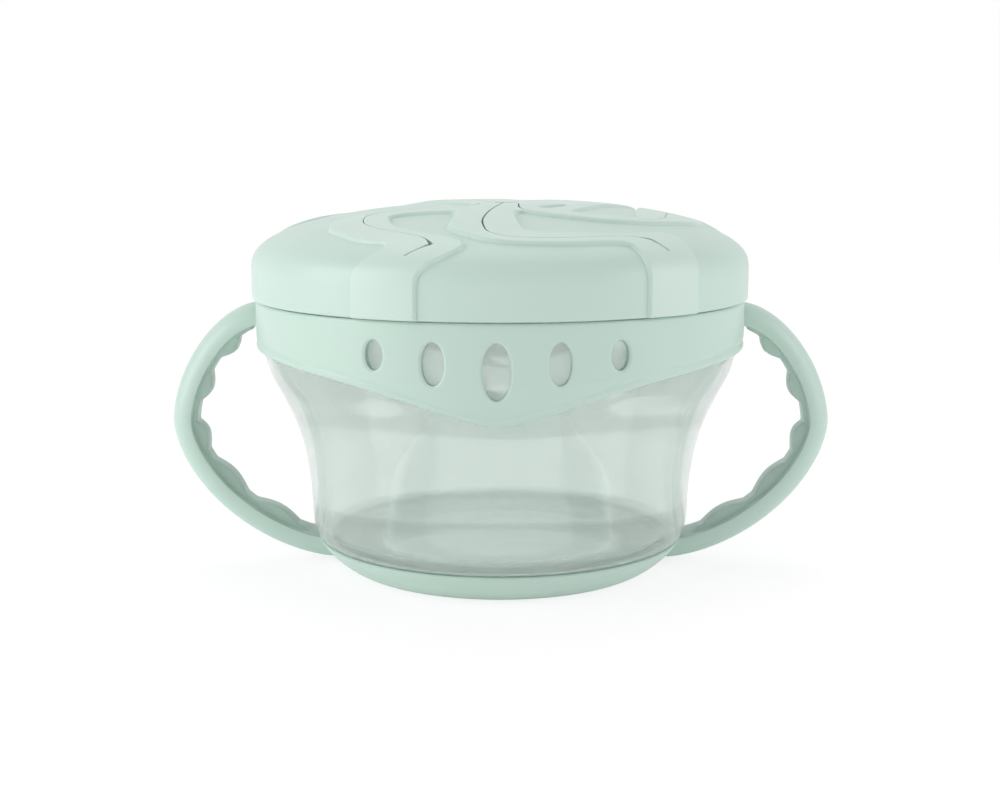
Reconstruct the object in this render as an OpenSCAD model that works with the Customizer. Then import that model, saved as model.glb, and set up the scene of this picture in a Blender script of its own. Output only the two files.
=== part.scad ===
// Two-handled snack container for toddlers: a clear flared cup that stands in an
// opaque frame (collar, base ring and two handles), and a domed lid whose top is
// cut by five curved slits into flaps that a small hand pushes in.
// Millimetres. Z is up, the origin is the centre of the base on the table,
// the handles lie along X and the pointed front of the collar faces -Y.

/* [Cup] */
// Outer radius of the cup behind the collar
cup_top_r = 53.6; // [50:0.2:56]
// Outer radius of the cup at its waist
cup_waist_r = 43.4; // [42:0.2:47]
// Height of the waist above the table
cup_waist_z = 14; // [10:0.5:18]
// Outer radius of the foot that plugs into the base ring
cup_foot_r = 38.8; // [35:0.1:39.5]
// Wall of the cup
cup_wall = 1.6; // [1.2:0.1:2.2]
// Thickness of the cup's floor
cup_floor = 1.8; // [1.2:0.1:2.6]
// How far the cup's lower edge stands back from the base ring's top edge
edge_in = 0.4; // [0.2:0.1:1]
// How far the neck under the lid stands back from the cup's outside
neck_step = 1; // [0.6:0.1:1.4]
// Height of the neck above the collar
neck_h = 6.8; // [5:0.1:7.4]
// How far the snap bead stands out of the neck
bead_h = 0.5; // [0.3:0.05:0.7]
// Radius of the gate dimple under the floor
gate_r = 2.2; // [1:0.1:4]
// Depth of the gate dimple
gate_depth = 0.5; // [0.2:0.1:0.8]

/* [Collar] */
// Wall of the collar
collar_wall = 1.4; // [1:0.1:2]
// Height of the collar's top edge above the table
collar_top_z = 61.7; // [58:0.1:66]
// Depth of the collar at its sides
collar_side_h = 10; // [8:0.1:11.5]
// How much further the collar reaches down at the front and back
collar_tip_h = 11.2; // [8:0.1:13]
// Half width over which the pointed edge runs out
collar_tip_spread = 27; // [20:0.5:32]
// Distance of the top line of the windows below the collar's top edge
window_drop = 3.8; // [2.5:0.1:5]
// Angle between neighbouring windows
window_step = 13.2; // [11:0.1:15]
// Half height of the middle window
window_half_h = 5.8; // [4:0.1:6.5]
// Half width of the middle window
window_half_w = 2.9; // [2:0.1:3.5]

/* [Base ring] */
// Height of the base ring
ring_h = 7; // [6:0.1:8.5]
// How far the base ring's top edge stands out past the cup's foot
ring_lip = 2.9; // [2.5:0.1:3.9]
// How far the flat underside's edge stands back inside the cup's foot
ring_tuck = 4.8; // [3:0.1:7]
// Width of the ledge under the cup's foot
ledge_w = 10.8; // [8:0.1:18]
// Height of the ledge
ring_ledge_z = 4; // [3.6:0.1:5]

/* [Handles] */
// How far each handle stands out from the collar
handle_reach = 20.4; // [16:0.1:28]
// Height of the widest point of the handles
handle_wide_z = 33; // [28:0.5:38]
// Distance of the handles' top outline below the collar's top edge
handle_drop = 1.3; // [1:0.1:3]
// How far outside the ring's flat underside the handles' lower outline runs in
bar_foot_out = 4; // [3:0.1:5]
// Height of that end above the table
bar_foot_z = 0.7; // [0.4:0.1:1.2]
// Thickness of a handle bar seen from the front
bar_t = 5; // [4:0.1:6]
// Depth of a handle bar from front to back
bar_d = 10.5; // [8:0.1:13]
// Width of the grip fin on the inner side of a handle
fin_w = 5; // [3:0.1:6]
// Height of the grip fin between the finger bumps
fin_h = 0.9; // [0.4:0.1:1.5]
// Extra height of a finger bump
bump_h = 1.7; // [0.8:0.1:2.4]

/* [Lid] */
// How far the lid's skirt stands out past the collar
lid_over = 0.75; // [0.2:0.05:2]
// Height of the straight skirt
skirt_h = 6.85; // [5:0.05:9]
// Height of the dome above the skirt
dome_h = 14.5; // [10:0.1:18]
// Depth of the shallow dish in the middle of the dome
dish_h = 1.15; // [0:0.05:1.5]
// Wall of the lid
lid_wall = 1.6; // [1.2:0.1:1.8]
// How far the swirl ribbons stand proud of the lid
rib_h = 0.8; // [0.4:0.05:1.2]
// Width of the slits between the flaps
slit_w = 0.5; // [0.4:0.05:0.7]
// Distance of the outermost slit's tail from the lid's edge
tail_margin = 2.4; // [1.6:0.1:6]
// Gap at the root of each flap, where the real lid bends
root_gap = 0.65; // [0.5:0.05:0.8]
// Width of the rib inside the lid that seats on the cup's rim
seat_w = 1.4; // [1:0.1:1.6]

/* [Fits] */
// Clearance between the cup and the frame
cup_gap = 0.3; // [0.2:0.05:0.5]
// Clearance between the lid and what it closes
lid_gap = 0.3; // [0.2:0.05:0.5]
// Clearance between the mouldings that make up the frame
joint_gap = 0.05; // [0.02:0.01:0.1]

/* [Hidden] */
$fn = 96;

mint = [0.79, 0.87, 0.83];
mint_light = [0.84, 0.91, 0.88];
mint_deep = [0.75, 0.84, 0.80];
clear_tint = [0.82, 0.89, 0.87, 0.35];

// ---- places that the pieces share
collar_ir = cup_top_r + cup_gap;
collar_or = collar_ir + collar_wall;
ring_r = cup_foot_r + cup_gap + ring_lip;
ring_foot_r = cup_foot_r - ring_tuck;
ring_hole_r = cup_foot_r - ledge_w;
flare_top_z = collar_top_z - collar_side_h - 2;
foot_z = ring_ledge_z + cup_gap;
foot_top_z = ring_h + cup_gap;
neck_r = cup_top_r - neck_step;
neck_top_z = collar_top_z + neck_h;
lid_z = collar_top_z + lid_gap;
lid_r = collar_or + lid_over;

function unit(v) = v / norm(v);

// ---- side of the cup, which the collar follows
// Share of the flare that is reached at each eighth of the way up from the waist
flare_share = [0, 0.025, 0.075, 0.15, 0.265, 0.43, 0.64, 0.865, 1];
flare_steps = len(flare_share) - 1;
flare_line = [for (i = [0:flare_steps])
    [cup_waist_r + (cup_top_r - cup_waist_r) * flare_share[i],
     cup_waist_z + (flare_top_z - cup_waist_z) * i / flare_steps]];
// Round lower edge from the base ring up to the waist
edge_r = ring_r - edge_in;
edge_steps = 4;
edge_line = [for (i = [0:edge_steps - 1])
    let (z = foot_top_z + (cup_waist_z - foot_top_z) * pow(i / edge_steps, 1.6))
    [edge_r + (cup_waist_r - edge_r)
     * sqrt(1 - pow((cup_waist_z - z) / (cup_waist_z - foot_top_z), 2)), z]];
cup_side = concat(edge_line, flare_line);

// ---- outside of the base ring: a soft round from the flat foot to the top edge
ring_steps = 8;
ring_round = 1.3;
function ring_or(z) =
    ring_foot_r + (ring_r - ring_foot_r)
    * pow(max(0, 1 - pow(max(0, 1 - z / ring_h), ring_round)), 1 / ring_round);
ring_line = [for (i = [0:ring_steps])
    let (z = ring_h * pow(i / ring_steps, 1.5)) [ring_or(z), z]];

// ---- handle bars
// Seen from the front, the outline is two quarters of a superellipse that meet at
// the widest point; s runs from 0 at the collar over 1 there to 2 at the base ring
bar_round = 1.7;
bar_top_z = collar_top_z - handle_drop;
bar_foot_r = ring_foot_r + bar_foot_out;
bar_out_r = collar_or + handle_reach;
function quarter(t, a, b) = [a * pow(sin(t), 2 / bar_round), b * pow(cos(t), 2 / bar_round)];
function bar_outline(s) =
    s < 1
    ? let (q = quarter(90 * s, handle_reach, bar_top_z - handle_wide_z))
      [collar_or + q[0], handle_wide_z + q[1]]
    : let (q = quarter(90 * (2 - s), bar_out_r - bar_foot_r, handle_wide_z - bar_foot_z))
      [bar_foot_r + q[0], handle_wide_z - q[1]];
bar_rings = 60;
bar_start = 0.02;
bar_end = 1.9;
function bar_dir(s) = unit(bar_outline(s + 0.01) - bar_outline(s - 0.01));
function bar_inward(s) = let (d = bar_dir(s)) [d[1], -d[0]];
// Five finger bumps, by their place along the bar
bump_places = [0.40, 0.72, 1.13, 1.40, 1.66];
bump_half = 0.105;
function bump(s) =
    max([for (p = bump_places)
        let (u = abs(s - p) / bump_half) u < 1 ? pow(cos(90 * u), 0.8) : 0]);
fin_start = 0.10;
fin_end = 1.84;
fin_fade = 0.06;
function fin_rise(s) =
    min(1, max(0, (s - fin_start) / fin_fade), max(0, (fin_end - s) / fin_fade))
    * (fin_h + bump_h * bump(s));
// Cross-section, as [towards the cup, along Y], with the fin on the side of the cup
bar_corner = 2.6;
function bar_edge(a) =
    [bar_t / 2 * sign(cos(a)) * pow(abs(cos(a)), 2 / bar_corner),
     bar_d / 2 * sign(sin(a)) * pow(abs(sin(a)), 2 / bar_corner)];
fin_sink = 0.1;
fin_flank = 0.3;
fin_root = bar_t / 2 - fin_sink;
function bar_section(rise) = concat(
    [for (a = [62:23.6:298]) bar_edge(a)],
    [[fin_root, -fin_w / 2 - fin_flank], [bar_t / 2 + 0.75 * rise, -fin_w / 2],
     [bar_t / 2 + rise, -fin_w / 4], [bar_t / 2 + rise, fin_w / 4],
     [bar_t / 2 + 0.75 * rise, fin_w / 2], [fin_root, fin_w / 2 + fin_flank]]);
function bar_point(s, q) =
    let (p = bar_outline(s) + bar_inward(s) * (bar_t / 2 + q[0])) [p[0], q[1], p[1]];
// A bar ends on flat faces that only touch what it is welded to: an upright one on the
// collar, and one that leans as the round side of the base ring does at this height
ring_face_z = 0.56 * ring_h;
ring_face_slope = (ring_or(1.05 * ring_face_z) - ring_or(0.95 * ring_face_z)) / (0.1 * ring_face_z);
function on_collar(p) = [collar_or + joint_gap, p[1], p[2]];
function on_ring(p) =
    [ring_or(ring_face_z) + ring_face_slope * (p[2] - ring_face_z) + joint_gap, p[1], p[2]];

// ---- dome of the lid, as a superellipse with a shallow dish in the middle
dome_a = 1.8;
dome_b = 2.5;
dome_steps = 12;
dish_r = 14;
function dome_at(t) =
    let (r = lid_r * pow(sin(t), 2 / dome_a))
    [r, lid_z + skirt_h + dome_h * pow(max(0, cos(t)), 2 / dome_b)
        - dish_h * exp(-pow(r / dish_r, 2))];
function dome_out(t) =
    t == 0 ? [0, 1] : t == 90 ? [1, 0]
    : let (d = unit(dome_at(t + 0.5) - dome_at(t - 0.5))) [-d[1], d[0]];
function dome_line(g) = [for (i = [0:dome_steps])
    let (t = 90 * i / dome_steps) dome_at(t) + g * dome_out(t)];
// Height of the plain dome over a point of the plan
function dome_z(p) = dome_at(asin(min(1, pow(norm(p) / lid_r, dome_a / 2))))[1];

// ---- swirl on the lid
spline_steps = 2;
function catmull(a, b, c, d, t) =
    0.5 * (2 * b + (c - a) * t + (2 * a - 5 * b + 4 * c - d) * t * t
           + (3 * b - a - 3 * c + d) * t * t * t);
function open_spline(p) =
    let (n = len(p) - 1)
    concat([for (i = [0:n - 1], k = [0:spline_steps - 1])
        catmull(p[max(0, i - 1)], p[i], p[i + 1], p[min(n, i + 2)], k / spline_steps)], [p[n]]);
function closed_spline(p) =
    let (n = len(p))
    [for (i = [0:n - 1], k = [0:spline_steps - 1])
        catmull(p[(i + n - 1) % n], p[i], p[(i + 1) % n], p[(i + 2) % n], k / spline_steps)];
// Each slit runs outwards from the middle of the lid, round two bends
slit = [
    [[-2, -3], [-4, -10], [-5.2, -17], [-9, -21.2], [-16, -21.3], [-23, -21], [-27.3, -22.4],
     [-28.2, -27], [-27, -32.5], [-23.5, -37.7], [-18.5, -42.2], [-14.6, -45.6], [-12.8, -48.6]],
    [[0.5, -4.4], [0.5, -12], [-0.3, -19], [-1.8, -27], [-3, -35], [-2.9, -40], [-1.6, -44.6],
     [2.5, -46.9], [8, -47], [15, -45.4], [22, -42.3], [27.3, -39.8], [30.8, -39]],
    [[4, -2.8], [4.2, -13], [4.8, -23.6], [9.5, -28.2], [15.5, -29.9], [21.5, -30],
     [27.5, -27.4], [32.4, -22.8], [35.5, -17], [36.5, -10], [37.8, 0], [39.5, 9], [42, 16],
     [45.5, 20.5]],
    [[3.4, 0.4], [10, 2], [17, 8], [22, 16], [25.3, 25], [25, 33], [19.5, 39], [12, 43],
     [4, 45.5], [-2, 47.5]],
    [[-1, 1.4], [-5, 8], [-10, 17], [-15.5, 25.5], [-22, 31.5], [-30, 33], [-37, 29],
     [-42, 21.5], [-46.5, 15.5]]
];
// The point of each slit, counted from the middle, from which the next flap is rooted
slit_bend = [6, 6, 7, 5, 4];
// Short tails that run on into the rim
slit_tail = [[-17.9, -50.6], [34.2, -40.8], [48.5, 22], [-3.6, 51.2], [-50, 15]];
// The swirl is drawn to its tails' reach, and laid out to end at its margin from the edge
swirl_r = max([for (t = slit_tail) norm(t)]);
function drawn(points) = points * ((lid_r - tail_margin) / swirl_r);
// Low fields between the ribbons; all but the last end outside the skirt
low_field = [
    [[-18.5, -58], [-16.9, -54.3], [-14, -53.4], [-10, -52.4], [-7.2, -50.8], [-6.7, -49.2],
     [-8, -47.4], [-10.6, -45.4], [-14, -43.2], [-17.5, -40.2], [-20, -37.4], [-21.8, -34],
     [-22.6, -30], [-22.8, -27], [-21, -25.2], [-16, -25], [-12, -25.6], [-9.2, -26.4],
     [-8.9, -31], [-9.6, -36], [-9.7, -40], [-8.6, -42.7], [-6, -45.2], [-3, -47.3],
     [0.5, -48.6], [5, -49], [10, -48.5], [15, -47.4], [20, -45.4], [24, -43.7],
     [26.4, -43.2], [28, -44.5], [30.2, -47.6], [33.1, -52.3], [9, -62]],
    [[44.8, -44], [41.2, -40.4], [39.6, -37.2], [37.4, -33.2], [34, -32.8], [30.5, -35],
     [27.5, -37.4], [23, -40], [18, -41.8], [13, -43], [8, -43.6], [5.4, -42.6], [4.5, -39.8],
     [3.8, -36], [3.4, -32], [3.5, -28], [5.2, -26.1], [9.5, -28.8], [15.5, -30.5],
     [21.5, -30.6], [26, -29.2], [31, -26.3], [34, -23.4], [37, -20], [41, -14.5],
     [43.4, -9.5], [45, -2], [46.5, 4], [50, 10], [59, 13], [60, -10]],
    [[53, 28], [45, 25.5], [38, 21], [34, 12], [31.5, 2], [30.4, -8], [30.1, -16],
     [29.5, -21.5], [27.5, -24.6], [23, -25.6], [18.5, -25.2], [15.4, -24.4], [16.6, -20.5],
     [18.6, -16.5], [20.6, -11], [23, -5], [27, 5], [31.5, 17], [32.5, 30], [28, 39],
     [20, 45.5], [11, 50], [9.5, 60], [40, 45]],
    [[-10, 60], [-9, 49], [-7, 43], [3, 39.5], [12, 36], [18, 31], [18.5, 24], [14, 14],
     [7.5, 9], [3, 12], [-3, 22], [-9, 31.5], [-19, 38.5], [-30, 40], [-40, 34], [-45, 26],
     [-55, 25], [-38, 48]],
    [[-58, 10], [-49, 9], [-43, 11], [-37, 19.5], [-31, 25.5], [-23, 24], [-16, 14],
     [-10.5, 3], [-6.4, -4], [-5.2, -10], [-6.6, -17], [-9.6, -20.5], [-16, -20.7],
     [-23, -20.4], [-28, -19.5], [-32, -19.9], [-34.6, -22.6], [-35.3, -26], [-34.7, -30],
     [-32.6, -34], [-29.2, -39.2], [-26, -42.2], [-23, -44], [-22, -45.2], [-22.7, -46.7],
     [-26, -47.8], [-29.3, -48.6], [-32.5, -53.5], [-54, -30]],
    [[8.4, -20], [10.2, -22], [12, -20], [14.6, -15.8], [14.2, -12.5], [11, -15.5]]
];
flap_count = len(slit);
function next(k) = (k + 1) % flap_count;
// A line moved sideways by d, to the left of its own direction
function beside(p, d) = [for (i = [0:len(p) - 1])
    let (v = unit(p[min(i + 1, len(p) - 1)] - p[max(i - 1, 0)])) p[i] + d * [-v[1], v[0]]];
function part_of(p, from, to) = [for (i = [from:to]) p[i]];
function turned(p) = [for (i = [len(p) - 1:-1:0]) p[i]];
function last(p) = p[len(p) - 1];
function slit_line(k) = open_spline(drawn(slit[k]));
function bend_at(k) = slit_bend[k] * spline_steps;
// The two ends of the root of flap k
function root_start(k) = last(slit_line(k));
function root_end(k) = slit_line(next(k))[bend_at(next(k))];
// How much of a flap's corner is cut back at the end of its root, so that it clears
// the next flap as it turns: a length along the root, and points along the slit
root_cut = 5;
corner_cut = spline_steps + 2;
// Outline of flap k: in along its own slit, then out along the next one to its root
function flap_outline(k) = concat(
    turned(beside(slit_line(k), slit_w / 2)),
    part_of(beside(slit_line(next(k)), -slit_w / 2), 0, bend_at(next(k)) - corner_cut),
    [root_end(k) + root_cut * unit(root_start(k) - root_end(k))]);
// Outline of the opening in the lid that holds the flaps
function outer_leg(k) =
    part_of(beside(slit_line(k), -slit_w / 2), bend_at(k), len(slit_line(k)) - 1);
function root_push(k) = let (v = unit(root_start(k) - root_end(k))) [v[1], -v[0]];
// Level line under the root of flap k, about which it turns
function root_z(k) = (dome_z(root_start(k)) + dome_z(root_end(k))) / 2 - 1.1 * lid_wall;
function root_line(k) = [for (p = [root_start(k), root_end(k)]) concat(p, [root_z(k)])];

module lid_opening_2d()
    polygon([for (k = [0:flap_count - 1])
        each concat(outer_leg(k), [root_start(k) - root_gap * root_push(k)])]);

// ---- lid blanks
// Half section of a solid dome whose surface lies g outside the plain lid
module dome_solid(g, bottom)
    rotate_extrude()
        polygon(concat([[0, bottom]], dome_line(g), [[lid_r + g, bottom]]));

// Lid wall with the ribbon height everywhere
module lid_blank()
    rotate_extrude()
        polygon(concat(dome_line(rib_h), [[lid_r + rib_h, lid_z], [lid_r - lid_wall, lid_z]],
                       turned(dome_line(-lid_wall))));

module through()
    translate([0, 0, lid_z - 1]) linear_extrude(skirt_h + dome_h + rib_h + 2) children();

// What is taken off the blank between the ribbons
module low_fields()
    difference() {
        through() for (f = low_field) polygon(closed_spline(drawn(f)));
        dome_solid(0, lid_z - 2);
    }

module flap(k)
    color(mint_light)
    difference() {
        intersection() {
            lid_blank();
            through() polygon(flap_outline(k));
        }
        low_fields();
    }

// Rib that seats on the cup's rim, and the bead that snaps under the cup's bead
seat_mid = neck_r - cup_wall / 2;
seat_top = dome_z([seat_mid + seat_w / 2, 0]) - 0.4 * lid_wall;
snap_r = neck_r + bead_h + lid_gap;
snap_z = lid_z + 0.9;
module lid_inside()
    rotate_extrude() {
        translate([seat_mid - seat_w / 2, neck_top_z + lid_gap])
            square([seat_w, seat_top - neck_top_z - lid_gap]);
        polygon([[lid_r - lid_wall / 2, snap_z], [snap_r + 0.3, snap_z], [snap_r, snap_z + 0.3],
                 [snap_r, snap_z + 0.7], [lid_r - lid_wall / 2, snap_z + 1.5]]);
    }

module slit_tails_2d()
    for (k = [0:flap_count - 1]) {
        line = [last(slit_line(k)), drawn(slit_tail[k])];
        start = beside(line, slit_w / 2);
        polygon(concat([line[0] - unit(line[1] - line[0])], start,
                       turned(beside(line, -slit_w / 2))));
    }

module lid_shell()
    color(mint)
    difference() {
        union() {
            lid_blank();
            lid_inside();
        }
        through() lid_opening_2d();
        through() slit_tails_2d();
        low_fields();
    }

window_size = [1, 0.75, 0.53];
module window_cut(i) {
    h = window_half_h * window_size[abs(i)];
    w = window_half_w * (0.6 + 0.4 * (1 - abs(i) / 2));
    rotate([0, 0, i * window_step])
        translate([0, -collar_or - 2, collar_top_z - window_drop - h])
            rotate([-90, 0, 0])
                linear_extrude(collar_or / 4)
                    polygon([for (a = [0:18:342]) [w * cos(a), h * sin(a)]]);
}

// Line of the pointed lower edge, seen from the front
function tip_z(x) = collar_top_z - collar_side_h
    - collar_tip_h * exp(-pow(abs(x) / collar_tip_spread, 1.5));

module collar()
    color(mint)
    difference() {
        rotate_extrude()
            polygon(concat(
                turned([for (p = part_of(flare_line, 5, flare_steps)) p + [cup_gap, 0]]),
                [for (p = part_of(flare_line, 5, flare_steps)) p + [cup_gap + collar_wall, 0]],
                [[collar_or, collar_top_z], [collar_ir, collar_top_z]]));
        translate([0, collar_or + 1, 0])
            rotate([90, 0, 0])
                linear_extrude(2 * collar_or + 2)
                    polygon(concat([[-collar_or - 1, 0]],
                        [for (x = [-1:0.08:1.001]) [x * (collar_or + 1), tip_z(x * collar_or)]],
                        [[collar_or + 1, 0]]));
        for (side = [0, 180], i = [-2:2]) rotate([0, 0, side]) window_cut(i);
    }

module base_ring()
    color(mint_deep)
    rotate_extrude()
        polygon(concat([[ring_hole_r, 0]], ring_line,
            [[cup_foot_r + cup_gap, ring_h], [cup_foot_r + cup_gap, ring_ledge_z],
             [ring_hole_r, ring_ledge_z]]));

module bar() {
    m = len(bar_section(1));
    rings = [for (i = [0:bar_rings])
        let (s = bar_start + (bar_end - bar_start) * i / bar_rings)
        [for (q = bar_section(fin_rise(s)))
            let (p = bar_point(s, q))
            i == 0 ? on_collar(p) : i == bar_rings ? on_ring(p) : p]];
    sides = [for (i = [0:bar_rings - 1], j = [0:m - 1])
        let (a = i * m + j, b = i * m + (j + 1) % m) each [[a, b, b + m], [a, b + m, a + m]]];
    start = [for (j = [1:m - 2]) [0, j + 1, j]];
    end = let (o = bar_rings * m) [for (j = [1:m - 2]) [o, o + j, o + j + 1]];
    polyhedron([for (r = rings, p = r) p], concat(sides, start, end));
}

module right_handle() color(mint) bar();

module left_handle() color(mint) mirror([1, 0, 0]) bar();

bead_z = collar_top_z + 0.55 * neck_h;
bead_half = 0.9;
module cup()
    color(clear_tint)
    rotate_extrude()
        polygon(concat(
            [[0, foot_z + gate_depth], [gate_r, foot_z + gate_depth], [gate_r, foot_z],
             [cup_foot_r, foot_z], [cup_foot_r, foot_top_z]],
            cup_side,
            [[cup_top_r, collar_top_z], [neck_r, collar_top_z], [neck_r, bead_z - bead_half],
             [neck_r + bead_h, bead_z], [neck_r, bead_z + bead_half], [neck_r, neck_top_z],
             [neck_r - cup_wall, neck_top_z]],
            turned([for (p = part_of(cup_side, 2, len(cup_side) - 1)) p - [cup_wall, 0]]),
            [[cup_foot_r - cup_wall, foot_top_z + 0.8 * cup_wall],
             [cup_foot_r - cup_wall, foot_z + cup_floor], [0, foot_z + cup_floor]]));

for (k = [0:flap_count - 1]) echo(str("flap_", k + 1, " turns about"), root_line(k));

collar();
base_ring();
left_handle();
right_handle();
cup();
lid_shell();
flap(0);  // flap_1
flap(1);  // flap_2
flap(2);  // flap_3
flap(3);  // flap_4
flap(4);  // flap_5
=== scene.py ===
# %% [markdown]
# # A two-handled snack container
# The real object has three mouldings: a clear cup, a mint frame that holds it (collar, base
# ring and two handles), and a mint lid whose dome is slit into five flaps. The CAD model
# gives every piece its place. Here each piece gets its finished surface: soft edges, raised
# ribbons with sharp slits in them, and plastics that look moulded and not painted.

# %% Load the frame
import math

import bpy
import numpy as np
from mathutils.geometry import delaunay_2d_cdt
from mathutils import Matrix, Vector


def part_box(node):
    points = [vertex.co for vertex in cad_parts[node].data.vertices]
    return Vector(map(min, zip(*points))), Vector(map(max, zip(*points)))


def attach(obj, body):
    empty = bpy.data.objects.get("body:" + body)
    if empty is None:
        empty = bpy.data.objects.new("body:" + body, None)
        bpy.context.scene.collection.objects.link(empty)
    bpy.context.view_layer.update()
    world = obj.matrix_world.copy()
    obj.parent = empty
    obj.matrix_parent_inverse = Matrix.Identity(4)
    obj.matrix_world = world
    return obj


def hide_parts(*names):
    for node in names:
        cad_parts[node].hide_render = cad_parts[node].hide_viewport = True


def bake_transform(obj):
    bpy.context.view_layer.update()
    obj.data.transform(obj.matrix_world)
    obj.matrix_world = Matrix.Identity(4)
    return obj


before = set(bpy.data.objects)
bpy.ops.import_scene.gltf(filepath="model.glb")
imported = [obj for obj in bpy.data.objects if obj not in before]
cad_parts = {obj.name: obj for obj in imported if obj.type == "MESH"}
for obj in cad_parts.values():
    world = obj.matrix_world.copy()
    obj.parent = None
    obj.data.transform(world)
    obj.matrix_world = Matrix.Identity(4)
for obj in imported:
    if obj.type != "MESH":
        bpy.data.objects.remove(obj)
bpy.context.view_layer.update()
MM = 0.001

# %% [markdown]
# ## Camera
# The camera stands where the photograph's outline puts it: a third of a metre in front of
# the cup and a little above it. A long lens keeps the rim's ellipse flat. The object in the
# photograph is turned by less than a degree, so the camera is swung by as much.

# %% Camera
camera_distance = 350 * MM
camera_height = 96.2 * MM
camera_pitch = 0.166  # radians
camera_turn = math.radians(0.7)
sensor_width, focal_length = 36, 55.2
camera = bpy.data.objects.new("camera", bpy.data.cameras.new("camera"))
camera.data.sensor_width = sensor_width
camera.data.lens = focal_length
camera.data.clip_start = 0.01
camera.location = (camera_distance * math.sin(camera_turn),
                   -camera_distance * math.cos(camera_turn), camera_height)
camera.rotation_euler = (math.pi / 2 - camera_pitch, 0, camera_turn)
bpy.context.collection.objects.link(camera)
bpy.context.scene.camera = camera
print("camera looks down", round(math.degrees(camera_pitch), 1), "degrees")

# %% [markdown]
# ## Colours and materials
# Hex colours are sRGB, as a colour picker shows them. Shaders work in linear light, so one
# function converts them. A second small function adds any node with its settings and links.
# A Mix node has sockets of the same name for numbers, vectors and colours, so its colour
# sockets are taken by their place in the list.

# %% Helpers for materials
COLOUR_A, COLOUR_B, COLOUR_OUT = 6, 7, 2


def srgb(code):
    channels = [int(code[i:i + 2], 16) / 255 for i in (1, 3, 5)]
    linear = [c / 12.92 if c <= 0.04045 else ((c + 0.055) / 1.055) ** 2.4 for c in channels]
    return (*linear, 1.0)


def add_node(tree, kind, settings=None, links=None):
    node = tree.nodes.new(kind)
    for name, value in (settings or {}).items():
        if name in node.inputs:
            node.inputs[name].default_value = value
        else:
            setattr(node, name, value)
    for name, source in (links or {}).items():
        tree.links.new(source, node.inputs[name])
    return node


def new_material(name):
    material = bpy.data.materials.new(name)
    material.use_nodes = True
    material.node_tree.nodes.clear()
    return material, material.node_tree


# %% [markdown]
# ### Satin polypropylene
# The frame and the lid are injection-moulded polypropylene in a steel tool with a fine
# sparked texture. That gives a soft, wide highlight over a matt body, and the pigment is
# never quite even: the colour drifts by a shade over a few centimetres. The texture's grain
# is about a tenth of a millimetre. It could be a picture, but noise in the object's own
# coordinates needs no picture and never stretches. The lid's raised ribbons get a lighter
# colour than the fields between them: a painted highlight for the light their tops catch.

# %% Satin polypropylene
def satin_polypropylene(name, shade, light_shade, roughness, painted_ribbon_highlight=None):
    material, tree = new_material(name)
    place = add_node(tree, "ShaderNodeTexCoord")
    drift = add_node(tree, "ShaderNodeTexNoise",
                     {"Scale": 1 / (45 * MM), "Detail": 2.0, "Roughness": 0.4},
                     {"Vector": place.outputs["Object"]})
    colour = add_node(tree, "ShaderNodeMix", {"data_type": "RGBA"},
                      {"Factor": drift.outputs["Fac"]})
    colour.inputs[COLOUR_A].default_value = srgb(shade)
    colour.inputs[COLOUR_B].default_value = srgb(light_shade)
    body_colour = colour.outputs[COLOUR_OUT]
    # A painted highlight: the raised ribbons get a lighter colour, for the light that their tops
    # catch
    if painted_ribbon_highlight:
        raised = add_node(tree, "ShaderNodeAttribute", {"attribute_name": "raised"})
        ribbon = add_node(tree, "ShaderNodeMix", {"data_type": "RGBA"},
                          {"Factor": raised.outputs["Fac"]})
        tree.links.new(body_colour, ribbon.inputs[COLOUR_A])
        ribbon.inputs[COLOUR_B].default_value = srgb(painted_ribbon_highlight)
        body_colour = ribbon.outputs[COLOUR_OUT]
    # The real grain is 0.1 mm; it is drawn at 0.35 mm so that it still shows in the picture
    grain = add_node(tree, "ShaderNodeTexNoise",
                     {"Scale": 1 / (0.35 * MM), "Detail": 3.0, "Roughness": 0.6},
                     {"Vector": place.outputs["Object"]})
    wear = add_node(tree, "ShaderNodeTexNoise",
                    {"Scale": 1 / (12 * MM), "Detail": 4.0, "Roughness": 0.55},
                    {"Vector": place.outputs["Object"]})
    gloss = add_node(tree, "ShaderNodeMapRange",
                     {"From Min": 0.3, "From Max": 0.7,
                      "To Min": roughness - 0.04, "To Max": roughness + 0.05},
                     {"Value": wear.outputs["Fac"]})
    bump = add_node(tree, "ShaderNodeBump", {"Strength": 0.05, "Distance": 0.05 * MM},
                    {"Height": grain.outputs["Fac"]})
    shader = add_node(tree, "ShaderNodeBsdfPrincipled",
                      {"IOR": 1.49, "Metallic": 0.0, "Specular IOR Level": 0.5},
                      {"Base Color": body_colour, "Roughness": gloss.outputs["Result"],
                       "Normal": bump.outputs["Normal"]})
    add_node(tree, "ShaderNodeOutputMaterial", None, {"Surface": shader.outputs["BSDF"]})
    return material


frame_plastic = satin_polypropylene("satin_mint_polypropylene_frame",
                                    "#bdd5ca", "#c3d9cf", 0.36)
# The last colour is a painted highlight on the lid's raised ribbons
lid_plastic = satin_polypropylene("satin_mint_polypropylene_lid",
                                  "#c1d8ce", "#c7dcd3", 0.38, "#cbdfd6")
print("materials:", frame_plastic.name, lid_plastic.name)

# %% [markdown]
# ### Clear polypropylene
# The cup is clarified polypropylene from a polished tool. It is never as clear as glass: the
# body has a faint green-grey tint and a slight haze, which softens what stands behind it.
# Real wall thickness in the mesh makes the edges look darker, as they are on the object.

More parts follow.
